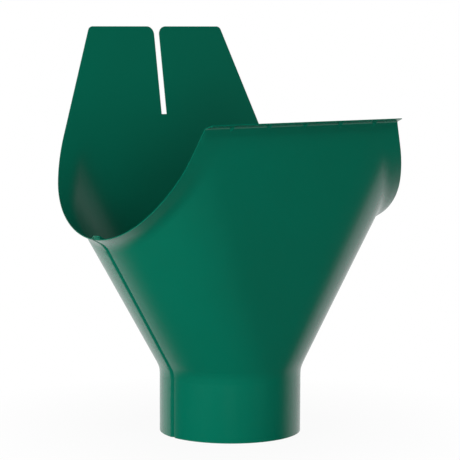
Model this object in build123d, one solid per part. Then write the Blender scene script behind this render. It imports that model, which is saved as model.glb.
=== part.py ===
from build123d import *
import math
import os

# Gutter outlet: two pressed sheet halves locked together by a grooved seam at each end.
# Frame: origin at the centre of the spigot's lower edge, +Z up, X along the gutter,
# the front lip towards -Y and the slotted back tab towards +Y. Millimetres.

# Sheet, and the lock that joins the halves
SHEET = 0.6
PLAY = 0.1
STEP = 0.03
HEM_WIDTH = 4.6
HOOK_WIDTH = 6.0
HOOK_SHY = 1.0
FOLD_WIDTH = 0.75
FOLD_ROUND = 1.0
FOLD_DIP = 0.5
JOGGLE_START = 0.2
JOGGLE_END = 3.8

# Gutter seat, outside of the sheet
SEAT_R = 76.6
SEAT_Z = 219.0
HALF_LENGTH = 116.7
RIM_ARC = 206.0
RIM_TAPER = math.radians(21.5)

# Collar round each mouth
COLLAR_LOW = 9.8
COLLAR_HIGH = 15.0
COLLAR_FLARE = 4.6
COLLAR_BEND = 5.0
CORNER_R = 26.0
MARGIN = 5.0

# Spigot, outside of the sheet
SPIGOT_R = 49.7
SPIGOT_TOP = 45.0
SPIGOT_BEND = 17.0

# Front strip and lip
STRIP_LEAN = math.radians(4.2)
LIP_S = 119.3
LIP_LEG = 4.0
LIP_BEND = 1.6
LIP_RISE = math.radians(19)
LIP_WIDTH = 5.6
DART_PITCH = 31.4
DART_COUNT = 5
DART_HALF = 2.4
DART_LEG = 3.4

# Back tab
TAB_S = 185.6
TAB_START = 112.0
TAB_CORNER = 4.0
SLOT_WIDTH = 4.8
SLOT_S = 121.4
SLOT_MOUTH = 6.0

# How the funnel's rulings are spaced
SPREAD = 0.16
STEPS = 24
RIM_STEPS = 32

# How far the cutters run past the sheet
SPARE = 60.0
RIM_BEFORE = 4 * HOOK_WIDTH
RIM_DEEP = 14.0
RIM_PROUD = 12.0
FOLD_Y = tuple(FOLD_WIDTH * share for share in (0, 1 / 3, 2 / 3, 1))
JOGGLE_Y = tuple(HOOK_SHY + (JOGGLE_END - HOOK_SHY) * i / 6 for i in range(7))
SEAM_Y = (*FOLD_Y, *JOGGLE_Y, HEM_WIDTH, HOOK_WIDTH - FOLD_WIDTH, HOOK_WIDTH, HOOK_WIDTH + HOOK_SHY)
ZONE_Y = (8.4, 10.4, 13.0, 16.5)


def panel_lean():
    """Angle from the vertical of the flat front and back panels."""
    rise = SEAT_Z - SPIGOT_TOP
    reach = math.hypot(SPIGOT_R, rise)
    return math.asin(SEAT_R / reach) - math.atan2(SPIGOT_R, rise)


LEAN = panel_lean()
WRAP = math.pi / 2 - LEAN
TANGENT_S = SEAT_R * WRAP
SEAM_END = SEAM_Y[-1]


def cross(a, b):
    return (a[1] * b[2] - a[2] * b[1], a[2] * b[0] - a[0] * b[2], a[0] * b[1] - a[1] * b[0])


def dot(a, b):
    return sum(p * q for p, q in zip(a, b))


def less(a, b):
    return tuple(p - q for p, q in zip(a, b))


def unit(a):
    size = math.sqrt(dot(a, a))
    return tuple(v / size for v in a)


def mix(a, b, t):
    return tuple(p + (q - p) * t for p, q in zip(a, b))


def ease(t):
    t = min(max(t, 0.0), 1.0)
    return t * t * (3 - 2 * t)


def section(s, side):
    """Point and outward normal of the seat's outline, s along it from the lowest line."""
    if s < 0:
        return section(-s, -side)
    wrap = WRAP
    if side < 0:
        wrap = WRAP - STRIP_LEAN
    turn = min(s / SEAT_R, wrap)
    extra = max(s - SEAT_R * wrap, 0)
    y = SEAT_R * math.sin(turn) + extra * math.cos(wrap)
    z = SEAT_Z - SEAT_R * math.cos(turn) + extra * math.sin(wrap)
    return y * side, z, math.sin(turn) * side, -math.cos(turn)


def seat_point(x, s, out, side):
    """A point of the seat at x and s, moved out from the sheet's outside by out."""
    y, z, ny, nz = section(s, side)
    return (x, y + ny * out, z + nz * out)


def rim(s):
    """Half the length between the mouth rims at a distance s round the seat."""
    s = abs(s)
    start = RIM_ARC * math.sin(RIM_TAPER)
    bow = RIM_ARC - math.sqrt(RIM_ARC ** 2 - min(s, start) ** 2)
    return HALF_LENGTH - bow - max(s - start, 0) * math.tan(RIM_TAPER)


def collar(s):
    """Width of the collar between rim and crease."""
    rise = math.sin(min(s / SEAT_R, WRAP)) ** 2
    return COLLAR_LOW + (COLLAR_HIGH - COLLAR_LOW) * rise


def crease_x(s):
    slope = rim(s + 0.5) - rim(s - 0.5)
    return -(rim(s) - collar(s) * math.hypot(1, slope))


def crease_line():
    """Flat development of the crease: x and s along it, with its rounded upper corner."""
    tilt = math.atan((crease_x(TANGENT_S - 20) - crease_x(TANGENT_S - 40)) / 20)
    run = CORNER_R * math.tan((math.pi / 2 - tilt) / 2)
    start = TANGENT_S - run * math.cos(tilt)
    seam_s = [SEAT_R * math.asin(y / (SEAT_R + COLLAR_FLARE)) for y in SEAM_Y + ZONE_Y]
    rows = [(crease_x(s), s) for s in seam_s]
    count = STEPS // 2
    for i in range(1, count):
        s = seam_s[-1] + (start - seam_s[-1]) * i / count
        rows.append((crease_x(s), s))
    turns = STEPS // 4
    middle_x = crease_x(start) + CORNER_R * math.cos(tilt)
    middle_s = TANGENT_S - CORNER_R
    for i in range(turns):
        a = tilt + (math.pi / 2 - tilt) * i / turns
        rows.append((middle_x - CORNER_R * math.cos(a), middle_s + CORNER_R * math.sin(a)))
    rest = STEPS // 4
    for i in range(rest + 1):
        rows.append((middle_x * (1 - i / rest), TANGENT_S))
    return rows


def ruling_angle(top, tangent, side):
    """Place round the spigot whose tangent lies in one plane with the crease's tangent."""
    def twist(angle):
        foot = (-SPIGOT_R * math.cos(angle), side * SPIGOT_R * math.sin(angle), SPIGOT_TOP)
        along = (math.sin(angle), side * math.cos(angle), 0.0)
        return dot(tangent, cross(along, less(top, foot)))

    low = 0.0
    high = math.pi / 2
    start = twist(low)
    if start * twist(high) > 0:
        return high
    for _ in range(40):
        mid = (low + high) / 2
        if twist(mid) * start > 0:
            low = mid
        else:
            high = mid
    return low


def reach(x, s, out, side):
    """How far the raw sheet runs out past the crease, before it is trimmed to shape."""
    top = LIP_S if side < 0 else TAB_S
    t = 0.0
    while -x - out[0] * t < rim(s + out[1] * t) and s + out[1] * t < top:
        t += 0.5
    return t * 1.12 + MARGIN


def way_out(path, i):
    """Step along the crease at one of its points, ease away from the seam, and way out."""
    before = path[i - 1] if i > 0 else (path[1][0], -path[1][1])
    after = path[i + 1] if i < len(path) - 1 else (-path[-2][0], path[-2][1])
    dx = after[0] - before[0]
    ds = after[1] - before[1]
    away = ease((path[i][1] - SEAM_END) / SEAM_END)
    size = math.hypot(dx * away, ds)
    return dx, ds, away, (-ds / size, dx * away / size)


SEAT_ROWS = 5


def quarter(side):
    """Columns of points over a quarter of the outlet, from the seam to the middle.

    side is -1 for the front and 1 for the back. Each column is five runs of points:
    seat, crease bend, funnel, spigot bend and spigot. A bend is its two ends and corner.
    """
    path = crease_line()
    lengths = [0.0]
    for p, q in zip(path, path[1:]):
        lengths.append(lengths[-1] + math.hypot(q[0] - p[0], q[1] - p[1]))
    ways = [way_out(path, i) for i in range(len(path))]
    raw = [reach(x, s, way[3], side) for (x, s), way in zip(path, ways)]
    grid = []
    for i, (x, s) in enumerate(path):
        dx, ds, away, out = ways[i]
        flare = COLLAR_FLARE * math.cos(min(s / TANGENT_S, 1.0) * math.pi / 2) ** 2
        top = seat_point(x, s, flare, side)
        ahead = seat_point(x + dx * 0.01, s + ds * 0.01, flare, side)
        angle = 0.0
        if i > 0:
            angle = ruling_angle(top, less(ahead, top), side)
        angle = angle * (1 - SPREAD) + lengths[i] / lengths[-1] * math.pi / 2 * SPREAD
        flat = math.asin(min(abs(top[1]) / SPIGOT_R, 1.0))
        angle = flat + (angle - flat) * away
        foot = (-SPIGOT_R * math.cos(angle), side * SPIGOT_R * math.sin(angle), SPIGOT_TOP)
        width = collar(s)
        far = max(raw[max(i - 1, 0):i + 2])
        seat = []
        for k in range(SEAT_ROWS + 1):
            t = far + (COLLAR_BEND - far) * k / SEAT_ROWS
            drop = flare * (1 - t / width)
            free = seat_point(x + out[0] * t, s + out[1] * t, drop, side)
            level = (free[0], top[1], SEAT_Z - math.sqrt((SEAT_R + drop) ** 2 - top[1] ** 2))
            seat.append(free if away >= 1 else mix(level, free, away))
        full = math.dist(top, foot)
        first = mix(top, foot, COLLAR_BEND / full)
        down = unit(less(foot, top))
        run = SPIGOT_BEND * math.tan(math.acos(-down[2]) / 2)
        final = mix(top, foot, 1 - run / full)
        below = (foot[0], foot[1], SPIGOT_TOP - run)
        end = (foot[0], foot[1], 0.0)
        grid.append([
            seat,
            [seat[-1], top, first],
            [first, final],
            [final, foot, below],
            [below, end],
        ])
    return grid


def flip(column, axis):
    """The mirror image of a column across the plane through the origin."""
    rows = []
    for run in column:
        made = []
        for p in run:
            q = list(p)
            q[axis] = -q[axis]
            made.append(tuple(q))
        rows.append(made)
    return rows


def normals(before, column, after, side):
    """Outward normals along a column, from the columns on either side of it."""
    away = ease((abs(column[0][-1][1]) - SEAM_END) / SEAM_END)

    def facing(k, j, along):
        made = cross(less(after[k][j], before[k][j]), along)
        made = unit((made[0], made[1] * away, made[2]))
        return tuple(v * side for v in made)

    seat = []
    run = column[0]
    for j, p in enumerate(run):
        along = less(run[min(j + 1, len(run) - 1)], run[max(j - 1, 0)])
        if j == len(run) - 1:
            along = less(column[1][1], p)
        seat.append(facing(0, j, along))
    down = less(column[2][1], column[2][0])
    high = facing(2, 0, down)
    low = facing(2, 1, down)
    drop = facing(4, 0, (0, 0, -1))
    return [seat, [seat[-1], between(seat[-1], high), high], [high, low],
            [low, between(low, drop), drop], [drop, drop]]


def between(a, b):
    """Way from a bend's corner to the corner of its offset, per unit of offset."""
    size = 1 + dot(a, b)
    return tuple((p + q) / size for p, q in zip(a, b))


def wire_of(column, facing, outer, inner):
    """Closed outline through the sheet along one column, between two depths."""
    y = column[0][-1][1]

    def sunk(depth):
        return [
            [less(p, tuple(v * depth for v in n)) for p, n in zip(run, ways)]
            for run, ways in zip(column, facing)
        ]

    outside = sunk(outer(y))
    inside = sunk(inner(y))
    edges = [run_edge(k, run) for k, run in enumerate(outside)]
    edges.append(run_edge(4, [outside[4][1], inside[4][1]]))
    edges += [run_edge(k, inside[k][::-1]) for k in (4, 3, 2, 1, 0)]
    edges.append(run_edge(4, [inside[0][0], outside[0][0]]))
    return Wire(edges)


def run_edge(k, run):
    points = [Vector(*p) for p in run]
    if k in (2, 4):
        return Edge.make_line(*points)
    if k in (1, 3):
        return Edge.make_bezier(*points)
    return Edge.make_spline(points, parameters=[i / SEAT_ROWS for i in range(SEAT_ROWS + 1)])


def skin(side, columns, outer, inner):
    """Solid between two depths over a run of columns, given with one more at each end."""
    wires = []
    for i in range(1, len(columns) - 1):
        facing = normals(columns[i - 1], columns[i], columns[i + 1], side)
        wires.append(wire_of(columns[i], facing, outer, inner))
    return Solid.make_loft(wires)


def seam_line(part):
    """All columns of a half from its folded edge to the middle, and the depths marked on them."""
    line = [flip(column, 1) for column in part[len(SEAM_Y):0:-1]] + part + [flip(part[-2], 0)]
    marks = [-y for y in SEAM_Y[:0:-1]] + list(SEAM_Y)
    return line, marks


def wall_columns(part, low):
    """Columns from y = low at the seam to the middle, with one more at each end."""
    line, marks = seam_line(part)
    return line[marks.index(low):]


def seam_columns(part, low, high):
    """Columns across the seam at -X from y = low to y = high, with one more at each end."""
    line, marks = seam_line(part)
    return line[marks.index(low):marks.index(high) + 3]


def both_ends(raw, *cutters):
    """One end of a half, trimmed to shape, joined to its mirror image on the middle plane."""
    end = raw.cut(*cutters)
    return end.fuse(end.mirror(Plane.YZ))


def rim_cutter(side, low, high):
    """Block whose inner face is square to the sheet along the mouth rim at -X."""
    wires = []
    for i in range(RIM_STEPS + 1):
        s = low + (high - low) * i / RIM_STEPS
        deep = seat_point(-rim(s), s, -RIM_DEEP, side)
        proud = seat_point(-rim(s), s, RIM_PROUD, side)
        corners = [deep, proud, less(proud, (SPARE, 0, 0)), less(deep, (SPARE, 0, 0))]
        wires.append(Wire.make_polygon([Vector(*c) for c in corners], close=True))
    return Solid.make_loft(wires, ruled=True)


def wall_plane(s, side):
    """Plane in the sheet's outside: x along the seat, y up the sheet, z outwards."""
    x, y, z = seat_point(0, s, 0, side)
    _, _, ny, nz = section(s, side)
    return Plane(origin=(x, y, z), x_dir=(-side, 0, 0), z_dir=(0, ny, nz))


PITCH = SHEET + PLAY
HEM_DEPTH = 2 * PITCH


def flush(y):
    return 0.0


def one_sheet(y):
    return SHEET


def fold_dip(y):
    t = min(max((y + FOLD_ROUND) / FOLD_ROUND, 0.0), 1.0)
    return FOLD_DIP * (1 - math.sqrt(1 - t * t))


def joggle(y):
    return 3 * PITCH * (1 - ease((y - JOGGLE_START) / (JOGGLE_END - JOGGLE_START)))


def lip_profile():
    """Outline of the folded lip in its own plane: x outwards, y up."""
    lean = LEAN + STRIP_LEAN
    thin = SHEET - 2 * STEP
    up = Vector(math.sin(lean), math.cos(lean))
    side_way = Vector(math.cos(lean), -math.sin(lean))
    turn = math.pi / 2 - lean - LIP_RISE
    start = side_way * (-SHEET / 2)
    centre = start + side_way * (LIP_BEND + SHEET / 2)
    spread = []
    for radius in (LIP_BEND + SHEET / 2 + thin / 2, LIP_BEND + SHEET / 2 - thin / 2):
        arc = []
        for share in (0, 0.5, 1):
            a = turn * share
            arc.append(centre - side_way * (radius * math.cos(a)) + up * (radius * math.sin(a)))
        spread.append(arc)
    way = Vector(math.cos(LIP_RISE), math.sin(LIP_RISE))
    outer, inner = spread
    far_outer = outer[2] + way * LIP_WIDTH
    far_inner = inner[2] + way * LIP_WIDTH
    root_outer = outer[0] - up * LIP_LEG
    root_inner = inner[0] - up * LIP_LEG
    edges = [
        Edge.make_line(root_outer, outer[0]),
        Edge.make_three_point_arc(*outer),
        Edge.make_line(outer[2], far_outer),
        Edge.make_line(far_outer, far_inner),
        Edge.make_line(far_inner, inner[2]),
        Edge.make_three_point_arc(*inner[::-1]),
        Edge.make_line(inner[0], root_inner),
        Edge.make_line(root_inner, root_outer),
    ]
    return Face(Wire(edges))


def lip():
    """The folded lip along the front, with its stiffening darts."""
    _, y, z = seat_point(0, LIP_S, 0, -1)
    half = rim(LIP_S) + 10
    frame = Plane(origin=(half, y, z), x_dir=(0, -1, 0), z_dir=(-1, 0, 0))
    return extrude(frame * lip_profile(), 2 * half, dir=(-1, 0, 0))


def dart(x):
    """One small pressed web across the bend of the lip."""
    lean = LEAN + STRIP_LEAN
    _, y, z = seat_point(0, LIP_S, 0, -1)
    wall = Vector(x, y, z) + Vector(0, math.sin(lean), -math.cos(lean)) * (DART_LEG - 1)
    turn = math.pi / 2 - lean - LIP_RISE
    bend = LIP_BEND * math.tan(turn / 2)
    corner = Vector(x, y - bend * math.sin(lean), z + bend * math.cos(lean))
    shelf = corner + Vector(0, -math.cos(LIP_RISE), math.sin(LIP_RISE)) * (DART_LEG + bend)
    deep = corner + Vector(0, math.cos(lean), 0.6) * 0.3
    left = deep - Vector(DART_HALF, 0, 0)
    right = deep + Vector(DART_HALF, 0, 0)
    inset = Vector(0, 0.15, 0.15)
    a = wall + inset
    b = shelf + inset
    faces = []
    for trio in ((a, b, left), (b, a, right), (a, left, right), (b, right, left)):
        faces.append(Face(Wire.make_polygon(list(trio), close=True)))
    return Solid(Shell(faces))


def front_half():
    part = quarter(-1)
    wall = skin(-1, wall_columns(part, FOLD_WIDTH), fold_dip, one_sheet)
    fold = skin(-1, seam_columns(part, 0.0, FOLD_WIDTH), fold_dip, lambda y: HEM_DEPTH + SHEET)
    hem = skin(-1, seam_columns(part, FOLD_WIDTH, HEM_WIDTH), lambda y: HEM_DEPTH,
               lambda y: HEM_DEPTH + SHEET)
    side_cut = rim_cutter(-1, -RIM_BEFORE, LIP_S + SPARE / 2)
    above = wall_plane(LIP_S - LIP_LEG, -1) * Pos(0, SPARE / 2, 0) * Box(4 * HALF_LENGTH, SPARE, SPARE)
    shelf = lip()
    for i in range(DART_COUNT):
        shelf = shelf.fuse(dart((i - (DART_COUNT - 1) / 2) * DART_PITCH))
    shelf = shelf.cut(side_cut, side_cut.mirror(Plane.YZ))
    return both_ends(wall.fuse(fold, hem), side_cut, above).fuse(shelf)


def tab_cutter():
    """Block round the tab's flat outline, with its rounded corners and its slot."""
    low = TAB_START - TAB_S
    deep = SLOT_S - TAB_S
    half = SLOT_WIDTH / 2
    right = [(half, deep), (half, 0), (rim(TAB_S), 0), (rim(TAB_START), low)]
    left = [(-x, y) for x, y in right[::-1]]
    tab = Face(Wire.make_polygon([Vector(x, y) for x, y in left + right], close=True))
    for radius, inner, outer in ((TAB_CORNER, half + 1, rim(0)), (SLOT_MOUTH, 0, half + 1)):
        corners = [v for v in tab.vertices() if abs(v.Y) < 0.01 and inner < abs(v.X) < outer]
        if radius == TAB_CORNER:
            corners = [v for v in corners if abs(v.X) > rim(TAB_S) - 1]
        tab = tab.fillet_2d(radius, corners)
    block = Pos(0, (SPARE + low) / 2, 0) * Rectangle(4 * HALF_LENGTH, SPARE - low)
    return extrude(wall_plane(TAB_S, 1) * (block - tab), MARGIN, both=True)


def back_half():
    part = quarter(1)
    inner = FOLD_WIDTH - HOOK_WIDTH
    wall = skin(1, wall_columns(part, inner), joggle, lambda y: joggle(y) + SHEET)
    fold = skin(1, seam_columns(part, -HOOK_WIDTH, inner), lambda y: PITCH,
                lambda y: 3 * PITCH + SHEET)
    hook = skin(1, seam_columns(part, inner, -HOOK_SHY), lambda y: PITCH,
                lambda y: PITCH + SHEET)
    rim_cut = rim_cutter(1, -RIM_BEFORE, TAB_START)
    return both_ends(wall.fuse(fold, hook), rim_cut, tab_cutter())


if __name__ == "__main__":
    os.makedirs("parts", exist_ok=True)
    export_step(front_half(), "parts/front_half.step")
    export_step(back_half(), "parts/back_half.step")
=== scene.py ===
# %% [markdown]
# # A painted gutter outlet
#
# The outlet is one pair of pressed steel sheets, coated green before they were formed and locked
# together by a seam at each end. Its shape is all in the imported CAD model, so this file loads that
# model as a fixed frame and gives it what CAD can't: the paint, the light and the camera.

import math

import bpy
from mathutils import Matrix, Vector

MM = 0.001

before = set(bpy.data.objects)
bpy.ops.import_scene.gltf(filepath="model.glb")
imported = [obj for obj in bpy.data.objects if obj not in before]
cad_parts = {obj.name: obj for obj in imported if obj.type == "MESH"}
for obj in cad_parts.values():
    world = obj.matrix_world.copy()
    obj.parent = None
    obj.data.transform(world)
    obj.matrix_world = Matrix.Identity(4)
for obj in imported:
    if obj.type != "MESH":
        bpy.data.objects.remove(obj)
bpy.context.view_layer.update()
print("nodes:", sorted(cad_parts))

# %% [markdown]
# ## The camera
#
# The photograph was taken from in front and to the left, a little above the middle, with a long
# lens. A camera could be aimed with a constraint, but a long lens shows every tenth of a degree,
# so its turn, tilt and roll are written out and made into one matrix. The turn of the stand is
# where the camera stands round the outlet, and the turn of the camera is where it looks. The lens
# follows from the picture's width in pixels and the focal length in pixels that fits the object's
# outline.

# %% Place the camera
PICTURE_PIXELS = 460
FOCAL_PIXELS = 1989.6
SENSOR_WIDTH = 36.0
CAMERA_DISTANCE = 1387.9 * MM
CAMERA_HEIGHT = 288.2 * MM
CAMERA_TURN = math.radians(38.936)
CAMERA_TILT = math.radians(6.024)
CAMERA_ROLL = math.radians(0.221)
STAND_TURN = math.radians(38.955)

ahead = Vector((
    math.sin(CAMERA_TURN) * math.cos(CAMERA_TILT),
    math.cos(CAMERA_TURN) * math.cos(CAMERA_TILT),
    -math.sin(CAMERA_TILT),
))
level = Vector((math.cos(CAMERA_TURN), -math.sin(CAMERA_TURN), 0.0))
upright = level.cross(ahead)
right = level * math.cos(CAMERA_ROLL) + upright * math.sin(CAMERA_ROLL)
above = upright * math.cos(CAMERA_ROLL) - level * math.sin(CAMERA_ROLL)

camera_data = bpy.data.cameras.new("long_lens")
camera_data.sensor_width = SENSOR_WIDTH
camera_data.lens = FOCAL_PIXELS * SENSOR_WIDTH / PICTURE_PIXELS
camera = bpy.data.objects.new("camera", camera_data)
bpy.context.scene.collection.objects.link(camera)
turned = Matrix((right, above, -ahead)).transposed().to_4x4()
stand = Vector((
    -math.sin(STAND_TURN) * CAMERA_DISTANCE,
    -math.cos(STAND_TURN) * CAMERA_DISTANCE,
    CAMERA_HEIGHT,
))
camera.matrix_world = Matrix.Translation(stand) @ turned
bpy.context.scene.camera = camera
print("lens:", round(camera_data.lens, 1), "mm, camera at", [round(v, 3) for v in stand])

# %% [markdown]
# ## Colour and nodes
#
# Colours are written as they look on a screen, as sRGB hex values, and Blender shades in linear
# light, so one function turns the one into the other. Another empties a material's or the world's
# own nodes, and a third adds a node, sets what is named and links what is given, which keeps each
# material readable as a list of its parts. A socket is named there, or numbered where its name
# isn't its own. A Mix node has a set of sockets for every kind of value, so its numbers have names.

# %% Helpers for colours and nodes
SRGB_TOE = 0.04045
SRGB_TOE_SLOPE = 12.92
SRGB_OFFSET = 0.055
SRGB_GAMMA = 2.4

MIX_SHARE = 0
MIX_VALUE_A = 2
MIX_VALUE_B = 3
MIX_COLOUR_A = 6
MIX_COLOUR_B = 7
MIXED_VALUE = 0
MIXED_COLOUR = 2


def linear(hex_colour):
    """Linear RGBA of an sRGB colour such as 1f5c46."""
    parts = [int(hex_colour[i:i + 2], 16) / 255 for i in (0, 2, 4)]
    made = [
        part / SRGB_TOE_SLOPE if part <= SRGB_TOE
        else ((part + SRGB_OFFSET) / (1 + SRGB_OFFSET)) ** SRGB_GAMMA
        for part in parts
    ]
    return (*made, 1.0)


WHITE = linear("ffffff")


def blank_tree(owner):
    """The emptied node tree of a material or the world."""
    owner.use_nodes = True
    owner.node_tree.nodes.clear()
    return owner.node_tree


def add_node(tree, kind, settings=None, inputs=None):
    """One node, with its settings, and its inputs set to values or linked to other sockets."""
    node = tree.nodes.new(kind)
    for name, value in (settings or {}).items():
        setattr(node, name, value)
    for name, value in (inputs or {}).items():
        socket = node.inputs[name]
        if isinstance(value, bpy.types.NodeSocket):
            tree.links.new(value, socket)
        else:
            socket.default_value = value
    return node


print("helpers ready")

# %% [markdown]
# ## The paint
#
# The sheet is galvanised steel with a polyester coil coating, rolled on and baked before forming.
# That gives the eye a deep even green with a satin gloss: dull where it is seen square on, and
# pale along every edge that turns away, where it mirrors the white surroundings. A rolled coat
# has a very slight peel, a few millimetres from crest to crest, and its gloss varies a little.
# A clear coat on top would be too sharp, so one rough dielectric layer is used. Such sheet has a
# thinner and duller coat on its reverse, which is the inside here. A face is on the inside where
# its normal points towards the middle of the saddle.

# %% Mix the paint
PAINT_GREEN = linear("006a54")
PAINT_DEEP = linear("00664f")
PAINT_IOR = 1.5
PAINT_ROUGHNESS = 0.25
ROUGHNESS_SPREAD = 0.02
REVERSE_ROUGHNESS = 0.42
SADDLE_MIDDLE = (0.0, 0.0, 219 * MM)
PEEL_WIDTH = 2.2 * MM
PEEL_HEIGHT = 0.004 * MM
PEEL_DETAIL = 1.0
CLOUD_WIDTH = 60 * MM
CLOUD_DETAIL = 2.0
CLOUD_FINENESS = 0.5

paint = bpy.data.materials.new("polyester_coated_steel")
tree = blank_tree(paint)
place = add_node(tree, "ShaderNodeTexCoord").outputs["Object"]
normal = add_node(tree, "ShaderNodeNewGeometry").outputs["Normal"]
clouds = add_node(tree, "ShaderNodeTexNoise", inputs={
    "Vector": place,
    "Scale": 1 / CLOUD_WIDTH,
    "Detail": CLOUD_DETAIL,
    "Roughness": CLOUD_FINENESS,
})
tint = add_node(tree, "ShaderNodeMix", {"data_type": "RGBA"}, {
    MIX_SHARE: clouds.outputs["Fac"],
    MIX_COLOUR_A: PAINT_GREEN,
    MIX_COLOUR_B: PAINT_DEEP,
})
outwards = add_node(tree, "ShaderNodeVectorMath", {"operation": "SUBTRACT"}, {
    0: place,
    1: SADDLE_MIDDLE,
})
facing_out = add_node(tree, "ShaderNodeVectorMath", {"operation": "DOT_PRODUCT"}, {
    0: outwards.outputs["Vector"],
    1: normal,
})
reverse = add_node(tree, "ShaderNodeMath", {"operation": "LESS_THAN"}, {
    0: facing_out.outputs["Value"],
    1: 0.0,
})
side_dullness = add_node(tree, "ShaderNodeMapRange", inputs={
    "Value": reverse.outputs[0],
    "To Min": PAINT_ROUGHNESS,
    "To Max": REVERSE_ROUGHNESS,
})
unevenness = add_node(tree, "ShaderNodeMapRange", inputs={
    "Value": clouds.outputs["Fac"],
    "To Min": -ROUGHNESS_SPREAD,
    "To Max": ROUGHNESS_SPREAD,
})
dullness = add_node(tree, "ShaderNodeMath", {"operation": "ADD"}, {
    0: side_dullness.outputs["Result"],
    1: unevenness.outputs["Result"],
})
peel = add_node(tree, "ShaderNodeTexNoise", inputs={
    "Vector": place,
    "Scale": 1 / PEEL_WIDTH,
    "Detail": PEEL_DETAIL,
})
ripple = add_node(tree, "ShaderNodeBump", inputs={
    "Height": peel.outputs["Fac"],
    "Distance": PEEL_HEIGHT,
    "Strength": 1.0,
})
skin = add_node(tree, "ShaderNodeBsdfPrincipled", inputs={
    "Base Color": tint.outputs[MIXED_COLOUR],
    "Roughness": dullness.outputs[0],
    "IOR": PAINT_IOR,
    "Normal": ripple.outputs["Normal"],
})
add_node(tree, "ShaderNodeOutputMaterial", inputs={"Surface": skin.outputs["BSDF"]})
print("material:", paint.name, "with", len(tree.nodes), "nodes")

# %% Put the paint on both sheets
for name, node in sorted(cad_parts.items()):
    node.data.materials.clear()
    node.data.materials.append(paint)
    print(name, "takes", paint.name, "on", len(node.data.polygons), "faces")

# %% [markdown]
# ## The floor
#
# The photograph shows the outlet on plain white with no shadow to speak of. A pale floor carries
# it here. To the camera the floor is nearly all white, with a little of its own shading left near
# the outlet's foot, so that a faint shadow stays, and pure white further out, where the floor
# would otherwise meet the background in a line. The paint doesn't mirror the floor.

# %% Lay the floor
FLOOR_HALF = 3000 * MM
FLOOR_PALE = linear("c8c8c8")
FLOOR_PLAIN = 0.94
SHADOW_NEAR = 70 * MM
SHADOW_REACH = 220 * MM

floor_mesh = bpy.data.meshes.new("floor")
corners = [
    (-FLOOR_HALF, -FLOOR_HALF, 0),
    (FLOOR_HALF, -FLOOR_HALF, 0),
    (FLOOR_HALF, FLOOR_HALF, 0),
    (-FLOOR_HALF, FLOOR_HALF, 0),
]
floor_mesh.from_pydata(corners, [], [(0, 1, 2, 3)])
floor = bpy.data.objects.new("floor", floor_mesh)
floor.visible_glossy = False
bpy.context.scene.collection.objects.link(floor)

paper = bpy.data.materials.new("pale_paper")
tree = blank_tree(paper)
ray = add_node(tree, "ShaderNodeLightPath")
place = add_node(tree, "ShaderNodeTexCoord").outputs["Object"]
far = add_node(tree, "ShaderNodeVectorMath", {"operation": "LENGTH"}, {0: place})
plain = add_node(tree, "ShaderNodeMapRange", inputs={
    "Value": far.outputs["Value"],
    "From Min": SHADOW_NEAR,
    "From Max": SHADOW_REACH,
    "To Min": FLOOR_PLAIN,
    "To Max": 1.0,
})
share = add_node(tree, "ShaderNodeMath", {"operation": "MULTIPLY"}, {
    0: ray.outputs["Is Camera Ray"],
    1: plain.outputs["Result"],
})
shaded = add_node(tree, "ShaderNodeBsdfDiffuse", inputs={"Color": FLOOR_PALE})
white = add_node(tree, "ShaderNodeEmission", inputs={"Color": WHITE, "Strength": 1.0})
both = add_node(tree, "ShaderNodeMixShader", inputs={
    0: share.outputs[0],
    1: shaded.outputs[0],
    2: white.outputs[0],
})
add_node(tree, "ShaderNodeOutputMaterial", inputs={"Surface": both.outputs[0]})
floor_mesh.materials.append(paper)
print("floor:", 2 * FLOOR_HALF, "m square")

# %% [markdown]
# ## The surroundings
#
# What a satin paint mirrors matters as much as what lights it. Here the room is white behind the
# outlet and dark overhead and behind the camera, as with one white wall, and only glossy rays see
# that. It makes the paint pale where it turns away and deep where it faces the camera. Other rays
# get a faint even light, and the camera sees plain white.

# %% Paint the surroundings
ROOM_LIGHT = 0.04
WALL_EDGE = 0.0
WALL_FULL = 0.65
WALL_WHITE = 1.0
CEILING_START = 0.15
CEILING_FULL = 0.60
WALL_ASIDE = math.radians(1)
WALL_TURN = STAND_TURN + WALL_ASIDE
away = Vector((math.sin(WALL_TURN), math.cos(WALL_TURN), 0.0))

world = bpy.data.worlds.new("white_wall")
bpy.context.scene.world = world
tree = blank_tree(world)
ray = add_node(tree, "ShaderNodeLightPath")
look = add_node(tree, "ShaderNodeTexCoord").outputs["Generated"]
facing = add_node(tree, "ShaderNodeVectorMath", {"operation": "DOT_PRODUCT"}, {
    0: look,
    1: away,
})
wall = add_node(tree, "ShaderNodeMapRange", {"interpolation_type": "SMOOTHSTEP"}, {
    "Value": facing.outputs["Value"],
    "From Min": WALL_EDGE,
    "From Max": WALL_FULL,
    "To Min": 0.0,
    "To Max": WALL_WHITE,
})
split = add_node(tree, "ShaderNodeSeparateXYZ", inputs={0: look})
ceiling = add_node(tree, "ShaderNodeMapRange", {"interpolation_type": "SMOOTHSTEP"}, {
    "Value": split.outputs["Z"],
    "From Min": CEILING_START,
    "From Max": CEILING_FULL,
    "To Min": 1.0,
    "To Max": 0.0,
})
lit = add_node(tree, "ShaderNodeMath", {"operation": "MULTIPLY"}, {
    0: wall.outputs["Result"],
    1: ceiling.outputs["Result"],
})
mirrored = add_node(tree, "ShaderNodeMix", {"data_type": "FLOAT"}, {
    MIX_SHARE: ray.outputs["Is Glossy Ray"],
    MIX_VALUE_A: ROOM_LIGHT,
    MIX_VALUE_B: lit.outputs[0],
})
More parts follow.
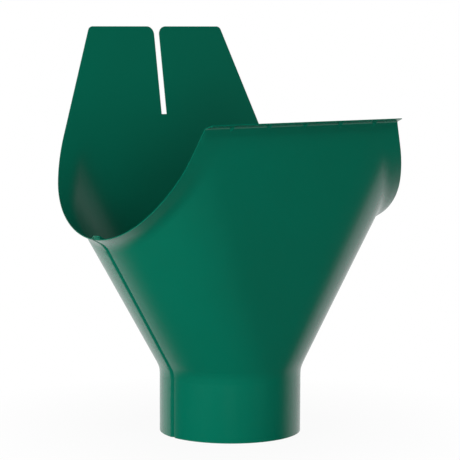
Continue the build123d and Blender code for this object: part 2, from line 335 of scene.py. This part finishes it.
seen = add_node(tree, "ShaderNodeMix", {"data_type": "FLOAT"}, {
    MIX_SHARE: ray.outputs["Is Camera Ray"],
    MIX_VALUE_A: mirrored.outputs[MIXED_VALUE],
    MIX_VALUE_B: 1.0,
})
glow = add_node(tree, "ShaderNodeBackground", inputs={
    "Color": WHITE,
    "Strength": seen.outputs[MIXED_VALUE],
})
add_node(tree, "ShaderNodeOutputWorld", inputs={"Surface": glow.outputs[0]})
print("surroundings:", world.name, "with", len(tree.nodes), "nodes")

# %% [markdown]
# ## The lamps
#
# Four soft boxes stand on the camera's side. The strongest of them is low on the left, so the
# light falls off to the right as it does on the real one. A fifth, behind on the right, lights the
# back of the tab, which the photograph doesn't show. All are kept out of mirror rays, because
# large boxes would lay a grey veil on the paint's deep green. A lamp's strength is the brightness
# that it gives white paper which faces it at the outlet. The Standard view shows colours as they
# are written.

# %% Hang the lamps
OBJECT_MIDDLE = Vector((0.0, 0.0, 140 * MM))


def softbox(name, turn, rise, distance, width, strength):
    """A square area lamp aimed at the outlet, turn degrees round from -Y towards +X."""
    azimuth = math.radians(turn)
    elevation = math.radians(rise)
    back = Vector((
        math.sin(azimuth) * math.cos(elevation),
        -math.cos(azimuth) * math.cos(elevation),
        math.sin(elevation),
    ))
    lamp = bpy.data.lights.new(name, "AREA")
    lamp.shape = "SQUARE"
    lamp.size = width
    lamp.energy = strength * distance ** 2 * math.pi ** 2
    box = bpy.data.objects.new(name, lamp)
    box.location = OBJECT_MIDDLE + back * distance
    box.rotation_mode = "QUATERNION"
    box.rotation_quaternion = (-back).to_track_quat("-Z", "Y")
    box.visible_glossy = False
    bpy.context.scene.collection.objects.link(box)
    print(name, "at", [round(v, 2) for v in box.location])


softbox("left_side", turn=-85, rise=6, distance=1.4, width=0.8, strength=1.0)
softbox("front_low", turn=5, rise=6, distance=1.4, width=0.6, strength=0.22)
softbox("camera_near", turn=-40, rise=-2, distance=0.7, width=0.2, strength=0.15)
softbox("front_high", turn=-10, rise=50, distance=1.0, width=0.3, strength=0.27)
softbox("back_side", turn=140, rise=25, distance=1.6, width=0.8, strength=0.45)

bpy.context.scene.view_settings.view_transform = "Standard"
